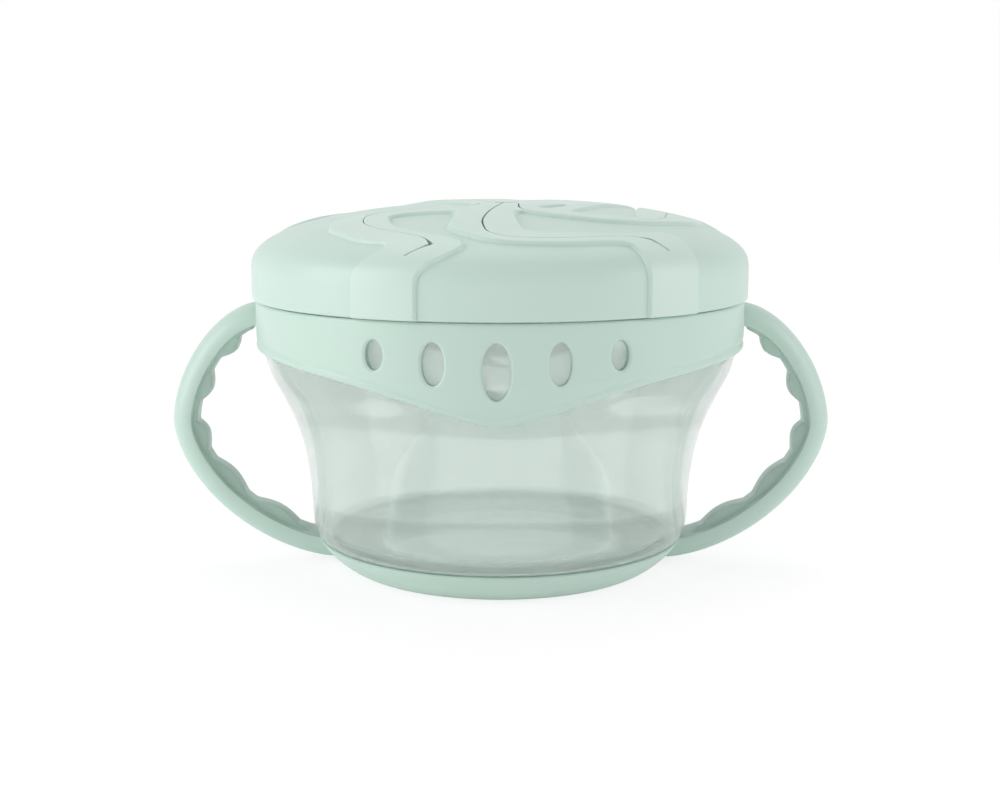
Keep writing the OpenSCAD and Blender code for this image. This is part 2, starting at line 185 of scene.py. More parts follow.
# %% Clear polypropylene
clear_plastic, tree = new_material("polished_clear_polypropylene")
place = add_node(tree, "ShaderNodeTexCoord")
haze = add_node(tree, "ShaderNodeTexNoise", {"Scale": 1 / (20 * MM), "Detail": 2.0},
                {"Vector": place.outputs["Object"]})
gloss = add_node(tree, "ShaderNodeMapRange", {"To Min": 0.02, "To Max": 0.05},
                 {"Value": haze.outputs["Fac"]})
shader = add_node(tree, "ShaderNodeBsdfPrincipled",
                  {"Base Color": srgb("#e9f6f0"), "IOR": 1.49, "Transmission Weight": 0.74,
                   "Alpha": 0.6},
                  {"Roughness": gloss.outputs["Result"]})
add_node(tree, "ShaderNodeOutputMaterial", None, {"Surface": shader.outputs["BSDF"]})
print("material:", clear_plastic.name)

# %% [markdown]
# ## Sizes
# The sizes repeat the CAD model's, in millimetres, so every piece lands on its node.

# %% Sizes
collar_top_z = 61.7
collar_or = 55.3
collar_wall = 1.4
collar_side_z = 51.7
collar_tip_h = 11.2
collar_tip_spread = 27.0
cup_top_r = 53.6
cup_waist_r = 43.4
cup_waist_z = 14.0
flare_top_z = 49.7
cup_wall = 1.6
lid_r = 56.05
lid_z = 62.0
lid_wall = 1.6
skirt_h = 6.85
dome_h = 14.5
dish_h = 1.15
rib_h = 0.78
lid_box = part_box("lid_shell")
print("lid from", [round(v / MM, 1) for v in lid_box[0]],
      "to", [round(v / MM, 1) for v in lid_box[1]], "mm")


# %% [markdown]
# ## Curves
# Every outline is drawn as a few points and smoothed with a Catmull-Rom spline,
# which passes through its points. Resampling gives even steps along a curve.

# %% Curves
def spline(points, steps=6, closed=False):
    p = np.array(points, float)
    count = len(p)
    spans = count if closed else count - 1

    def at(i):
        return p[i % count] if closed else p[min(max(i, 0), count - 1)]

    made = []
    for i in range(spans):
        a, b, c, d = at(i - 1), at(i), at(i + 1), at(i + 2)
        for t in np.arange(steps) / steps:
            made.append(0.5 * (2 * b + (c - a) * t + (2 * a - 5 * b + 4 * c - d) * t ** 2
                               + (3 * b - a - 3 * c + d) * t ** 3))
    if not closed:
        made.append(p[-1])
    return np.array(made)


def resample(line, step):
    length = np.concatenate([[0], np.cumsum(np.linalg.norm(np.diff(line, axis=0), axis=1))])
    count = max(2, int(round(length[-1] / step)) + 1)
    where = np.linspace(0, length[-1], count)
    return np.column_stack([np.interp(where, length, line[:, i]) for i in range(line.shape[1])])


def beside(line, offset):
    ahead = np.vstack([line[1:], line[-1:]])
    behind = np.vstack([line[:1], line[:-1]])
    along = ahead - behind
    along /= np.linalg.norm(along, axis=1)[:, None]
    return line + np.reshape(offset, (-1, 1)) * np.column_stack([-along[:, 1], along[:, 0]])


def is_inside(points, loop):
    order = np.argsort(points[:, 1])
    x, y = points[order].T
    inside = np.zeros(len(points), bool)
    for (x1, y1), (x2, y2) in zip(loop, np.roll(loop, -1, axis=0)):
        if y1 != y2:
            i, j = np.searchsorted(y, (min(y1, y2), max(y1, y2)))
            inside[i:j] ^= x[i:j] < (x2 - x1) * (y[i:j] - y1) / (y2 - y1) + x1
    found = np.zeros(len(points), bool)
    found[order] = inside
    return found


far_away = 99.0


def distance_to(points, line, closed=False, reach=2.5):
    """Distance of each point from a line, where it is within reach; elsewhere just a long one."""
    ends = np.roll(line, -1, axis=0) if closed else line[1:]
    starts = line if closed else line[:-1]
    order = np.argsort(points[:, 0])
    sorted_points = points[order]
    best = np.full(len(points), far_away)
    for a, b in zip(starts, ends):
        i, j = np.searchsorted(sorted_points[:, 0],
                               (min(a[0], b[0]) - reach, max(a[0], b[0]) + reach))
        d, near = b - a, sorted_points[i:j]
        t = np.clip((near - a) @ d / max(d @ d, 1e-12), 0, 1)
        best[i:j] = np.minimum(best[i:j], np.linalg.norm(near - a - t[:, None] * d, axis=1))
    found = np.empty(len(points))
    found[order] = best
    return found


# %% [markdown]
# ## Sheets with holes
# The lid and the collar are thin shells with cut-outs. A boolean on a dense mesh leaves
# ragged edges, so each shell is laid out flat, cut in the plane, and then bent into place: a
# Delaunay triangulation of the flat sheet keeps every cut as a clean row of edges, and a
# function of the flat coordinates gives the place in space. Points lie close together near
# the steps in the surface and far apart elsewhere.

# %% Sheets with holes
def grid(low, high, step):
    """Points in rows of equal triangles: every other row starts half a step further on."""
    made = []
    for i, y in enumerate(np.arange(low[1], high[1], step * math.sqrt(3) / 2)):
        x = np.arange(low[0] + step / 2 * (i % 2), high[0], step)
        made.append(np.column_stack([x, np.full(len(x), y)]))
    return np.vstack(made)


def triangulate(outline, holes, fill):
    loops = [outline] + list(holes)
    points, edges = [], []
    for loop in loops:
        first = len(points)
        points += [tuple(p) for p in loop]
        edges += [(first + i, first + (i + 1) % len(loop)) for i in range(len(loop))]
    points += [tuple(p) for p in fill]
    made = delaunay_2d_cdt(points, edges, [], 0, 1e-6)
    flat = np.array([tuple(p) for p in made[0]])
    faces = np.array([f for f in made[2] if len(f) == 3])
    middle = flat[faces].mean(axis=1)
    keep = is_inside(middle, outline)
    for hole in holes:
        keep &= ~is_inside(middle, hole)
    faces = faces[keep]
    a, b, c = (flat[faces[:, i]] for i in range(3))
    turned = (b - a)[:, 0] * (c - a)[:, 1] - (b - a)[:, 1] * (c - a)[:, 0] < 0
    faces[turned] = faces[turned][:, ::-1]
    used = np.unique(faces)
    renumber = np.zeros(len(flat), int)
    renumber[used] = np.arange(len(used))
    return flat[used], renumber[faces]


def surface_normals(place, flat, step=0.02):
    right = place(flat + [step, 0]) - place(flat - [step, 0])
    up = place(flat + [0, step]) - place(flat - [0, step])
    normal = np.cross(right, up)
    return normal / np.linalg.norm(normal, axis=1)[:, None]


def make_mesh(name, points, faces, material, loop_normals=None):
    mesh = bpy.data.meshes.new(name)
    mesh.from_pydata((np.asarray(points) * MM).tolist(), [], faces)
    mesh.materials.append(material)
    mesh.polygons.foreach_set("use_smooth", np.ones(len(mesh.polygons), bool))
    mesh.update()
    if loop_normals is not None:
        mesh.normals_split_custom_set(loop_normals)
    piece = bpy.data.objects.new(name, mesh)
    bpy.context.collection.objects.link(piece)
    return piece


def shell(name, flat, triangles, outer, inner, material, raised=None):
    """A closed sheet: an outer and an inner surface over the same triangles, and its rims."""
    top, bottom = outer(flat), inner(flat)
    top_normal, bottom_normal = surface_normals(outer, flat), -surface_normals(inner, flat)
    count = len(flat)
    directed = np.vstack([triangles[:, [0, 1]], triangles[:, [1, 2]], triangles[:, [2, 0]]])
    known = {(a, b) for a, b in directed.tolist()}
    rim = [(a, b) for a, b in directed.tolist() if (b, a) not in known]
    points = np.vstack([top, bottom])
    faces = triangles.tolist() + (triangles[:, ::-1] + count).tolist()
    normals = ([top_normal[i] for face in triangles for i in face]
               + [bottom_normal[i] for face in triangles[:, ::-1] for i in face])
    for a, b in rim:
        faces.append([a, a + count, b + count, b])
        across = np.cross(points[a + count] - points[a], points[b] - points[a])
        across = across / max(np.linalg.norm(across), 1e-9)
        normals += [across] * 4
    piece = make_mesh(name, points, faces, material, np.array(normals).tolist())
    # The ribbon mask sets where the lid's colour gets its painted highlight
    if raised is not None:
        layer = piece.data.attributes.new("raised", "FLOAT", "POINT")
        layer.data.foreach_set("value", np.concatenate([raised(flat), np.zeros(count)]))
    print(name, "has", len(faces), "faces and", len(rim), "rim edges")
    return piece


# %% [markdown]
# ## The lid's dome, laid flat
# A lid like this is moulded in one shot. Its half section is a flat-topped superellipse with
# a shallow dish in the middle, then a straight skirt. Laid flat, the distance from the
# middle is the length along that section, so nothing on the dome or skirt is stretched
# much. Places on the lid are drawn in plan, as seen from above, and moved to the flat sheet.

# %% Dome of the lid
dome_a, dome_b = 1.8, 2.5
dish_r = 14.0
dome_steps = 600
turn = np.radians(np.linspace(0, 90, dome_steps))
section_r = lid_r * np.sin(turn) ** (2 / dome_a)
section_z = (lid_z + skirt_h + dome_h * np.maximum(np.cos(turn), 0) ** (2 / dome_b)
             - dish_h * np.exp(-(section_r / dish_r) ** 2))
lip = 0.5
lip_turn = np.radians(np.linspace(0, 75, 8))
section_r = np.concatenate([section_r, [lid_r], lid_r - lip * (1 - np.cos(lip_turn))])
section_z = np.concatenate([section_z, [lid_z + skirt_h / 2],
                            lid_z + lip * (1 - np.sin(lip_turn))])
section_s = np.concatenate([[0], np.cumsum(np.hypot(np.diff(section_r), np.diff(section_z)))])
skirt_s = section_s[dome_steps - 1]
sheet_r = section_s[-1]
slope_step = 0.15
print("length of the half section:", round(sheet_r, 1),
      "mm; the skirt starts at", round(skirt_s, 1))


def to_flat(plan):
    r = np.linalg.norm(plan, axis=1)
    s = np.interp(r, section_r[:dome_steps], section_s[:dome_steps])
    return plan * (s / np.maximum(r, 1e-9))[:, None]


def to_plan(flat):
    s = np.linalg.norm(flat, axis=1)
    r = np.interp(s, section_s, section_r)
    return flat * (r / np.maximum(s, 1e-9))[:, None]


def dome_place(flat, lift):
    s = np.maximum(np.linalg.norm(flat, axis=1), 1e-6)
    along = flat / s[:, None]
    r = np.interp(s, section_s, section_r)
    z = np.interp(s, section_s, section_z)
    slope_r, slope_z = (np.interp(s + slope_step, section_s, side)
                        - np.interp(s - slope_step, section_s, side)
                        for side in (section_r, section_z))
    # On the skirt a ribbon stands out sideways only, so that the lid's lower edge stays level
    slope_r = np.where(s > skirt_s + 2 * slope_step, 0, slope_r)
    size = np.maximum(np.hypot(slope_r, slope_z), 1e-9)
    r = r - lift * slope_z / size
    z = z + lift * slope_r / size
    return np.column_stack([along * r[:, None], z])


# %% [markdown]
# ## The swirl
# Five slits run from the middle of the lid, round two bends, to a short tail at the rim. A
# raised ribbon follows each slit and runs on over the shoulder and down the skirt. What is
# drawn here are the slits and the low fields between the ribbons. Both could be curves with
# a bevel, laid on the dome, but a ribbon then sits on the lid like a wire. Drawn as a height
# on the sheet, it rises out of the same skin, as a moulded ribbon does.

# %% Slits and low fields
slits = [
    [(-2, -3), (-4, -10), (-5.2, -17), (-9, -21.2), (-16, -21.3), (-23, -21), (-27.3, -22.4),
     (-28.2, -27), (-27, -32.5), (-23.5, -37.7), (-18.5, -42.2), (-14.6, -45.6), (-12.8, -48.6)],
    [(0.5, -4.4), (0.5, -12), (-0.3, -19), (-1.8, -27), (-3, -35), (-2.9, -40), (-1.6, -44.6),
     (2.5, -46.9), (8, -47), (15, -45.4), (22, -42.3), (27.3, -39.8), (30.8, -39)],
    [(4, -2.8), (4.2, -13), (4.8, -23.6), (9.5, -28.2), (15.5, -29.9), (21.5, -30),
     (27.5, -27.4), (32.4, -22.8), (35.5, -17), (36.5, -10), (37.8, 0), (39.5, 9), (42, 16),
     (45.5, 20.5)],
    [(3.4, 0.4), (10, 2), (17, 8), (22, 16), (25.3, 25), (25, 33), (19.5, 39), (12, 43),
     (4, 45.5), (-2, 47.5)],
    [(-1, 1.4), (-5, 8), (-10, 17), (-15.5, 25.5), (-22, 31.5), (-30, 33), (-37, 29),
     (-42, 21.5), (-46.5, 15.5)],
]
slit_bend = [6, 6, 7, 5, 4]
slit_tails = [(-17.9, -50.6), (34.2, -40.8), (48.5, 22), (-3.6, 51.2), (-50, 15)]
low_fields = [
    [(-18.5, -58), (-16.9, -54.3), (-14, -53.4), (-10, -52.4), (-7.2, -50.8), (-6.7, -49.2),
     (-8, -47.4), (-10.6, -45.4), (-14, -43.2), (-17.5, -40.2), (-20, -37.4), (-21.8, -34),
     (-22.6, -30), (-22.8, -27), (-21, -25.2), (-16, -25), (-12, -25.6), (-9.2, -26.4),
     (-8.9, -31), (-9.6, -36), (-9.7, -40), (-8.6, -42.7), (-6, -45.2), (-3, -47.3),
     (0.5, -48.6), (5, -49), (10, -48.5), (15, -47.4), (20, -45.4), (24, -43.7), (26.4, -43.2),
     (28, -44.5), (30.2, -47.6), (33.1, -52.3), (9, -62)],
    [(44.8, -44), (41.2, -40.4), (39.6, -37.2), (37.4, -33.2), (34, -32.8), (30.5, -35),
     (27.5, -37.4), (23, -40), (18, -41.8), (13, -43), (8, -43.6), (5.4, -42.6), (4.5, -39.8),
     (3.8, -36), (3.4, -32), (3.5, -28), (5.2, -26.1), (9.5, -28.8), (15.5, -30.5),
     (21.5, -30.6), (26, -29.2), (31, -26.3), (34, -23.4), (37, -20), (41, -14.5), (43.4, -9.5),
     (45, -2), (46.5, 4), (50, 10), (59, 13), (60, -10)],
    [(53, 28), (45, 25.5), (38, 21), (34, 12), (31.5, 2), (30.4, -8), (30.1, -16), (29.5, -21.5),
     (27.5, -24.6), (23, -25.6), (18.5, -25.2), (15.4, -24.4), (16.6, -20.5), (18.6, -16.5),
     (20.6, -11), (23, -5), (27, 5), (31.5, 17), (32.5, 30), (28, 39), (20, 45.5), (11, 50),
     (9.5, 60), (40, 45)],
    [(-10, 60), (-9, 49), (-7, 43), (3, 39.5), (12, 36), (18, 31), (18.5, 24), (14, 14),
     (7.5, 9), (3, 12), (-3, 22), (-9, 31.5), (-19, 38.5), (-30, 40), (-40, 34), (-45, 26),
     (-55, 25), (-38, 48)],
    [(-58, 10), (-49, 9), (-43, 11), (-37, 19.5), (-31, 25.5), (-23, 24), (-16, 14), (-10.5, 3),
     (-6.4, -4), (-5.2, -10), (-6.6, -17), (-9.6, -20.5), (-16, -20.7), (-23, -20.4),
     (-28, -19.5), (-32, -19.9), (-34.6, -22.6), (-35.3, -26), (-34.7, -30), (-32.6, -34),
     (-29.2, -39.2), (-26, -42.2), (-23, -44), (-22, -45.2), (-22.7, -46.7), (-26, -47.8),
     (-29.3, -48.6), (-32.5, -53.5), (-54, -30)],
]
pocket = [(8.4, -20), (10.2, -22), (12, -20), (14.6, -15.8), (14.2, -12.5), (11, -15.5)]
field_steps, past_rim = 8, 6
print(len(slits), "slits and", len(low_fields) + 1, "low fields")


def field_on_sheet(plan):
    """A field's outline on the flat sheet. Past the skirt's top its sides run straight down."""
    loop = spline(plan, field_steps, closed=True)
    r = np.linalg.norm(loop, axis=1)
    beyond = sheet_r + past_rim
    made = []
    for i in range(len(loop)):
        j = (i + 1) % len(loop)
        inner = r[i] < lid_r
        made.append(to_flat(loop[i:i + 1])[0] if inner else loop[i] / r[i] * beyond)
        if inner != (r[j] < lid_r):
            cross = loop[i] + (loop[j] - loop[i]) * (lid_r - r[i]) / (r[j] - r[i])
            cross = cross / lid_r
            pair = [cross * skirt_s, cross * beyond]
            made += pair if inner else pair[::-1]
    return np.array(made)


field_loops = [field_on_sheet(field) for field in low_fields]
field_loops.append(to_flat(spline(pocket, field_steps, closed=True)))
ribbon_edge = 0.4


def ribbon_depth(flat):
    """Distance from the nearest ribbon's edge, positive on the ribbon."""
    distance = np.full(len(flat), far_away)
    low = np.zeros(len(flat), bool)
    for loop in field_loops:
        distance = np.minimum(distance, distance_to(flat, loop, closed=True))
        low |= is_inside(flat, loop)
    return np.where(low, -distance, distance)


# %% [markdown]
# Each slit becomes two lines on the sheet, half a slit to its left and to its right. A flap
# lies between the left line of its own slit and the right line of the next one, and it is
# joined to the lid along a straight root, where the real lid bends.

# %% Flaps on the sheet
slit_step, slit_steps = 0.6, 12
centre, corner_at, bend_at = [], [], []
for points, tail, bend in zip(slits, slit_tails, slit_bend):
    whole = spline(points, slit_steps)
    at_bend = slit_steps * bend
    legs = [resample(to_flat(leg), slit_step)
            for leg in (whole[:at_bend + 1], whole[at_bend:], np.array([whole[-1], tail]))]
    centre.append(np.vstack([legs[0], legs[1][1:], legs[2][1:]]))
    bend_at.append(len(legs[0]) - 1)
    corner_at.append(len(legs[0]) + len(legs[1]) - 2)


least_half, radial_half, corner_half, corner_reach = 0.05, 0.15, 0.3, 1.8


def half_width(line, corner):
    """Half the slit's width along it: less where it runs across a radius, more at its corner."""
    along = np.gradient(line, axis=0)
    along /= np.linalg.norm(along, axis=1)[:, None]
    out = line / np.maximum(np.linalg.norm(line, axis=1), 1e-6)[:, None]
    radial = np.abs((along * out).sum(axis=1))
    near = np.exp(-(np.linalg.norm(line - line[corner], axis=1) / corner_reach) ** 2)
    return least_half + radial_half * radial ** 2 + corner_half * near


widths = [half_width(c, corner) for c, corner in zip(centre, corner_at)]
left_side = [beside(c, w) for c, w in zip(centre, widths)]
right_side = [beside(c, -w) for c, w in zip(centre, widths)]


def following(k):
    return (k + 1) % len(slits)


def root_line(k):
    other = following(k)
    ends = to_plan(np.array([left_side[k][corner_at[k]], right_side[other][bend_at[other]]]))
    return to_flat(resample(ends, slit_step))


roots = [root_line(k) for k in range(len(slits))]
flap_loops = [np.vstack([left_side[k][:corner_at[k]], roots[k],
                         right_side[following(k)][:bend_at[following(k)]][::-1]])
              for k in range(len(slits))]
opening_loop = np.vstack([
    np.vstack([right_side[k][bend_at[k] + 1:], left_side[k][corner_at[k] + 1:][::-1], roots[k]])
    for k in range(len(slits))])
print("flap outlines have", [len(loop) for loop in flap_loops], "points")

# %% [markdown]
# The edges of the slits are eased, as in any moulding: the skin drops a twentieth of a
# millimetre over the last 0.3 mm. The ribbons rise over 0.8 mm, steeply at their foot and
# softly at their top. Rows of close points follow both, so that each step is a clean line.

# %% Lid surfaces
slit_round, slit_drop = 0.3, 0.05
step_offsets = (-0.46, -0.4, -0.28, -0.12, 0.06, 0.24, 0.42)
offset_slack = 0.03
slit_row_gaps, slit_row_least = (0.12, 0.35), 0.1
rim_gaps = (0.08, 0.18, 0.32, 0.47, 0.62, 0.8, 1.1, 1.6)
clear_of_slits, rows_clear_of_slits, clear_of_cuts = 0.7, 0.25, 0.08
clear_of_rim = 1.9


def distance_to_slits(flat):
    return np.min([distance_to(flat, side) for side in left_side + right_side], axis=0)


def on_ribbon(flat):
    return np.clip((ribbon_depth(flat) + ribbon_edge) / (2 * ribbon_edge), 0, 1)


def lid_outer(flat):
    lift = rib_h * (1 - (1 - on_ribbon(flat)) ** 2)
    gap = distance_to_slits(flat)
    lift -= slit_drop * np.clip(1 - gap / slit_round, 0, 1) ** 2
    return dome_place(flat, lift)


def lid_inner(flat):
    return dome_place(flat, np.full(len(flat), -lid_wall))


def ribbon_rows():
    """Rows of points on both sides of each ribbon's edge, so that the step is a clean line."""
    made = []
    for loop in field_loops:
        line = resample(np.vstack([loop, loop[:1]]), row_step)[:-1]
        along = np.roll(line, -1, axis=0) - np.roll(line, 1, axis=0)
        along /= np.linalg.norm(along, axis=1)[:, None]
        for offset in step_offsets:
            row = line + offset * np.column_stack([-along[:, 1], along[:, 0]])
            made.append(row[np.abs(np.abs(ribbon_depth(row)) - abs(offset)) < offset_slack])
    return np.vstack(made)


def fill_points(outline, holes, near_rim):
    low, high = outline.min(axis=0), outline.max(axis=0)
    spread = grid(low, high, coarse_step)
    spread = spread[np.abs(ribbon_depth(spread)) > -step_offsets[0] + row_step / 2]
    spread = spread[distance_to_slits(spread) > clear_of_slits]
    rows = step_rows[distance_to_slits(step_rows) > rows_clear_of_slits]
    along_slits = np.vstack([beside(side, sign * gap)
                             for sides, sign in ((left_side, 1), (right_side, -1))
                             for side in sides for gap in slit_row_gaps])
    slit_gap = distance_to_slits(along_slits)
    fill = np.vstack([along_slits[slit_gap > slit_row_least], rows, spread])
    keep = is_inside(fill, outline)
    for hole in holes:
        keep &= ~is_inside(fill, hole)
    fill = fill[keep]
    for loop in [outline] + list(holes):
        fill = fill[distance_to(fill, loop, closed=True) > clear_of_cuts]
    if near_rim:
        fill = fill[np.linalg.norm(fill, axis=1) < sheet_r - clear_of_rim]
        rings = np.vstack([rim_loop * (sheet_r - gap) / sheet_r for gap in rim_gaps])
        fill = np.vstack([fill, rings])
    return fill


row_step, coarse_step, rim_count = ((0.5, 1.5, 1300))
around = np.radians(np.arange(rim_count) * 360 / rim_count)
rim_loop = sheet_r * np.column_stack([np.cos(around), np.sin(around)])
step_rows = ribbon_rows()
print(len(step_rows), "points along the ribbons' edges")
flat, faces = triangulate(rim_loop, [opening_loop], fill_points(rim_loop, [opening_loop], True))
lid_skin = shell("lid_skin", flat, faces, lid_outer, lid_inner, lid_plastic, on_ribbon)
flap_skins = []
for k, loop in enumerate(flap_loops):
    flat, faces = triangulate(loop, [], fill_points(loop, [], False))
    flap_skins.append(shell(f"flap_skin_{k + 1}", flat, faces, lid_outer, lid_inner, lid_plastic,
                            on_ribbon))


# %% [markdown]
# ## Turned pieces
# The cup, the base ring and the ribs inside the lid are round about one axis. Each is a
# closed half section, turned round. Corners in the section are given a small radius, because
# a moulding has no knife edges and the radius is what catches the light.

# %% Turned pieces
def soften(outline, radius, steps=4):
    """Rounds the corners of a closed outline by one radius, or by a list with one for each."""
    points = np.array(outline, float)
    made = []
    for i, corner in enumerate(points):
        before, after = points[i - 1], points[(i + 1) % len(points)]
        r = radius[i] if isinstance(radius, (list, tuple)) else radius
        a, b = before - corner, after - corner
        la, lb = np.linalg.norm(a), np.linalg.norm(b)
        reach = min(r, 0.45 * la, 0.45 * lb)
        if reach < 0.02 or corner[0] < 1e-6:
            made.append(corner)
            continue
        start, end = corner + a / la * reach, corner + b / lb * reach
        for t in np.linspace(0, 1, steps + 1):
            made.append((1 - t) ** 2 * start + 2 * t * (1 - t) * corner + t ** 2 * end)
    return np.array(made)


def turned(name, outline, material, segments=240, sharp=50):
    rings = np.asarray(outline, float)
    around = np.radians(np.arange(segments) * 360 / segments)
    points, index = [], []
    for r, z in rings:
        if r < 1e-6:
            index.append([len(points)] * segments)
            points.append((0, 0, z))
        else:
            index.append(list(range(len(points), len(points) + segments)))
            points += [(r * math.cos(a), r * math.sin(a), z) for a in around]
    faces = []
    closed = rings[0][0] > 1e-6
    for i in range(len(rings) if closed else len(rings) - 1):
        low, high = index[i], index[(i + 1) % len(rings)]
        for j in range(segments):
            face = [low[j], low[(j + 1) % segments], high[(j + 1) % segments], high[j]]
            faces.append(list(dict.fromkeys(face)))
    piece = make_mesh(name, points, [f for f in faces if len(f) > 2], material)
    piece.data.set_sharp_from_angle(angle=math.radians(sharp))
    print(name, "has", len(faces), "faces")
    return piece


# %% [markdown]
# ### Cup
# The cup stands on a foot inside the base ring, steps out over the ring's edge, and flares
# up to the collar. Its neck stands back a millimetre to make room for the lid.

# %% Cup
flare_share = [0, 0.025, 0.075, 0.15, 0.265, 0.43, 0.64, 0.865, 1]
flare_z = np.linspace(cup_waist_z, flare_top_z, len(flare_share))
flare_curve = spline(np.column_stack([
    cup_waist_r + (cup_top_r - cup_waist_r) * np.array(flare_share), flare_z]), 5)
foot_r, foot_z, foot_top_z, edge_r = 38.8, 4.3, 7.3, 41.6
neck_r, neck_top_z, bead_z, bead_h = 52.6, 68.5, 65.44, 0.5
edge_z = foot_top_z + (cup_waist_z - foot_top_z) * (np.arange(10) / 10) ** 1.6
edge_curve = np.column_stack([
    edge_r + (cup_waist_r - edge_r)
    * np.sqrt(1 - ((cup_waist_z - edge_z) / (cup_waist_z - foot_top_z)) ** 2), edge_z])
side_curve = np.vstack([edge_curve, flare_curve])


def cup_radius(z):
    return np.interp(z, side_curve[:, 1], side_curve[:, 0])


floor_z = foot_z + 1.8
gate_r, gate_depth = 2.3, 0.5
ease, small_ease, fine_ease = 0.4, 0.3, 0.2
bead_foot, bead_crest, rim_drop = 0.9, 0.1, 0.5
outside = np.vstack([
    [[0, foot_z + gate_depth], [gate_r - ease, foot_z + gate_depth], [gate_r, foot_z],
     [foot_r - ease, foot_z], [foot_r, foot_z + ease],
     [foot_r, foot_top_z - small_ease], [foot_r + small_ease, foot_top_z],
     [edge_r - small_ease, foot_top_z]],
    side_curve[1:],
    [[cup_top_r, collar_top_z - ease], [cup_top_r - ease, collar_top_z],
     [neck_r + fine_ease, collar_top_z], [neck_r, collar_top_z + fine_ease],
     [neck_r, bead_z - bead_foot], [neck_r + bead_h, bead_z - bead_crest],
     [neck_r + bead_h, bead_z + bead_crest], [neck_r, bead_z + bead_foot],
     [neck_r, neck_top_z - rim_drop], [neck_r - ease, neck_top_z]]])
# The inside leaves out the step at the foot: it bends up from the floor in one soft curve.
# Each place on that bend is (past the foot's radius, above the floor).
floor_bend = [(-5, 0), (-3, 0.15), (-1.2, 0.8), (0.6, 2.2)]
inside_curve = beside(side_curve[3:], cup_wall)[3:]
neck_in_r, neck_in_z = neck_r - cup_wall, 60
inside = np.vstack([
    [[0, floor_z]],
    [[foot_r + out, floor_z + up] for out, up in floor_bend],
    inside_curve,
    [[neck_in_r, neck_in_z], [neck_in_r, neck_top_z - ease], [neck_in_r + ease, neck_top_z]]])
clear_cup = turned("clear_cup", np.vstack([outside, inside[::-1]]), clear_plastic, 256, 40)

# %% [markdown]
# ### Base ring
# The ring under the cup rounds softly from its flat foot to its top edge, where a narrow
# shelf shows as a lighter line in front of the cup.

# %% Base ring
ring_h, ring_r, ring_foot_r, ring_hole_r, ring_ledge_z = 7.0, 42.0, 34.0, 28.0, 4.0
ring_round, ring_steps, ring_gap = 1.3, 24, 0.3
ring_z = ring_h * (np.arange(ring_steps + 1) / ring_steps) ** 1.8
ring_side = np.column_stack([
    ring_foot_r + (ring_r - ring_foot_r)
    * (1 - np.maximum(0, 1 - ring_z / ring_h) ** ring_round) ** (1 / ring_round), ring_z])
ring_outline = np.vstack([
    [[ring_hole_r, ring_ledge_z - ease], [ring_hole_r, ease], [ring_hole_r + ease, 0]],
    ring_side[:-1],
    [[ring_r - 0.05, ring_h - 0.25], [ring_r - small_ease, ring_h],
     [foot_r + ring_gap + small_ease, ring_h], [foot_r + ring_gap, ring_h - small_ease],
     [foot_r + ring_gap, ring_ledge_z + fine_ease],
     [foot_r + ring_gap - fine_ease, ring_ledge_z],
     [ring_hole_r + ease, ring_ledge_z]]])
base_ring_skin = turned("base_ring_skin", ring_outline, frame_plastic, 256, 40)

# %% [markdown]
# ### Inside of the lid
# Two ribs hold the lid: one sits on the cup's rim, and a bead snaps under the cup's bead.

# %% Ribs inside the lid
seat_mid, seat_w = neck_r - cup_wall / 2, 1.4
seat_in, seat_out = seat_mid - seat_w / 2, seat_mid + seat_w / 2
seat_low, seat_top = neck_top_z + 0.3, 73.3
seat_outline = soften([(seat_in, seat_low), (seat_out, seat_low),
                       (seat_out, seat_top), (seat_in, seat_top + 0.6)], ease)
seat_rib = turned("seat_rib", seat_outline, lid_plastic, 200)
snap_r, snap_z = neck_r + bead_h + 0.3, lid_z + 0.9
snap_back = lid_r - lid_wall / 2
snap_outline = soften([(snap_back, snap_z + 1.5), (snap_r, snap_z + 0.5),
                       (snap_r + 0.2, snap_z), (snap_back, snap_z)],
                      [0, small_ease, fine_ease, 0])
snap_bead = turned("snap_bead", snap_outline, lid_plastic, 200)

# %% [markdown]
# ## Collar
# The collar is a band round the top of the cup. Its lower edge dips to a soft point at the
# front and back, and five oval windows show the cup behind. It is another sheet with holes,
# laid out flat as length round the band by height, and rolled up.

# %% Collar
def tip_z(x):
    return collar_side_z - collar_tip_h * np.exp(-(np.abs(x) / collar_tip_spread) ** 1.5)


window_turns = [-2, -1, 0, 1, 2]
window_step, window_top_z = 13.2, 57.9
window_half_h = {0: 5.8, 1: 4.35, 2: 3.1}
window_half_w = {0: 2.9, 1: 2.4, 2: 2.1}
band = 2 * math.pi * collar_or


def collar_radius(z):
    return np.where(z > flare_top_z, collar_or, cup_radius(z) + collar_or - cup_top_r)


windows = []
for side in (0, 180):
    for i in window_turns:
        high, wide = window_half_h[abs(i)], window_half_w[abs(i)]
        middle = math.radians(side + i * window_step)
        if middle > math.pi:
            middle -= 2 * math.pi
        ring = np.radians(np.arange(0, 360, 6))
        loop = np.column_stack([middle * collar_or + wide * np.cos(ring),
                                window_top_z - high + high * np.sin(ring)])
        windows.append(loop)
# The sheet's ends meet behind the left handle, so that no window is cut by the seam
seam = -math.pi / 2 * collar_or
windows = [loop + [band if loop[:, 0].mean() < seam else 0, 0] for loop in windows]
bottom_x = np.linspace(seam, seam + band, 440)
bottom = np.column_stack([bottom_x, tip_z(collar_or * np.sin(bottom_x / collar_or))])
top = np.column_stack([bottom_x[::-1], np.full(len(bottom_x), collar_top_z)])
side_z = np.linspace(bottom[0, 1], collar_top_z, 12)[1:-1]
collar_loop = np.vstack([bottom, np.column_stack([np.full(len(side_z), bottom_x[-1]), side_z]),
                         top, np.column_stack([np.full(len(side_z), bottom_x[0]), side_z[::-1]])])
collar_round, collar_drop = 0.6, 0.3
groove_depth, groove_above, groove_half = 0.22, 1.75, 0.45
near_window = 6


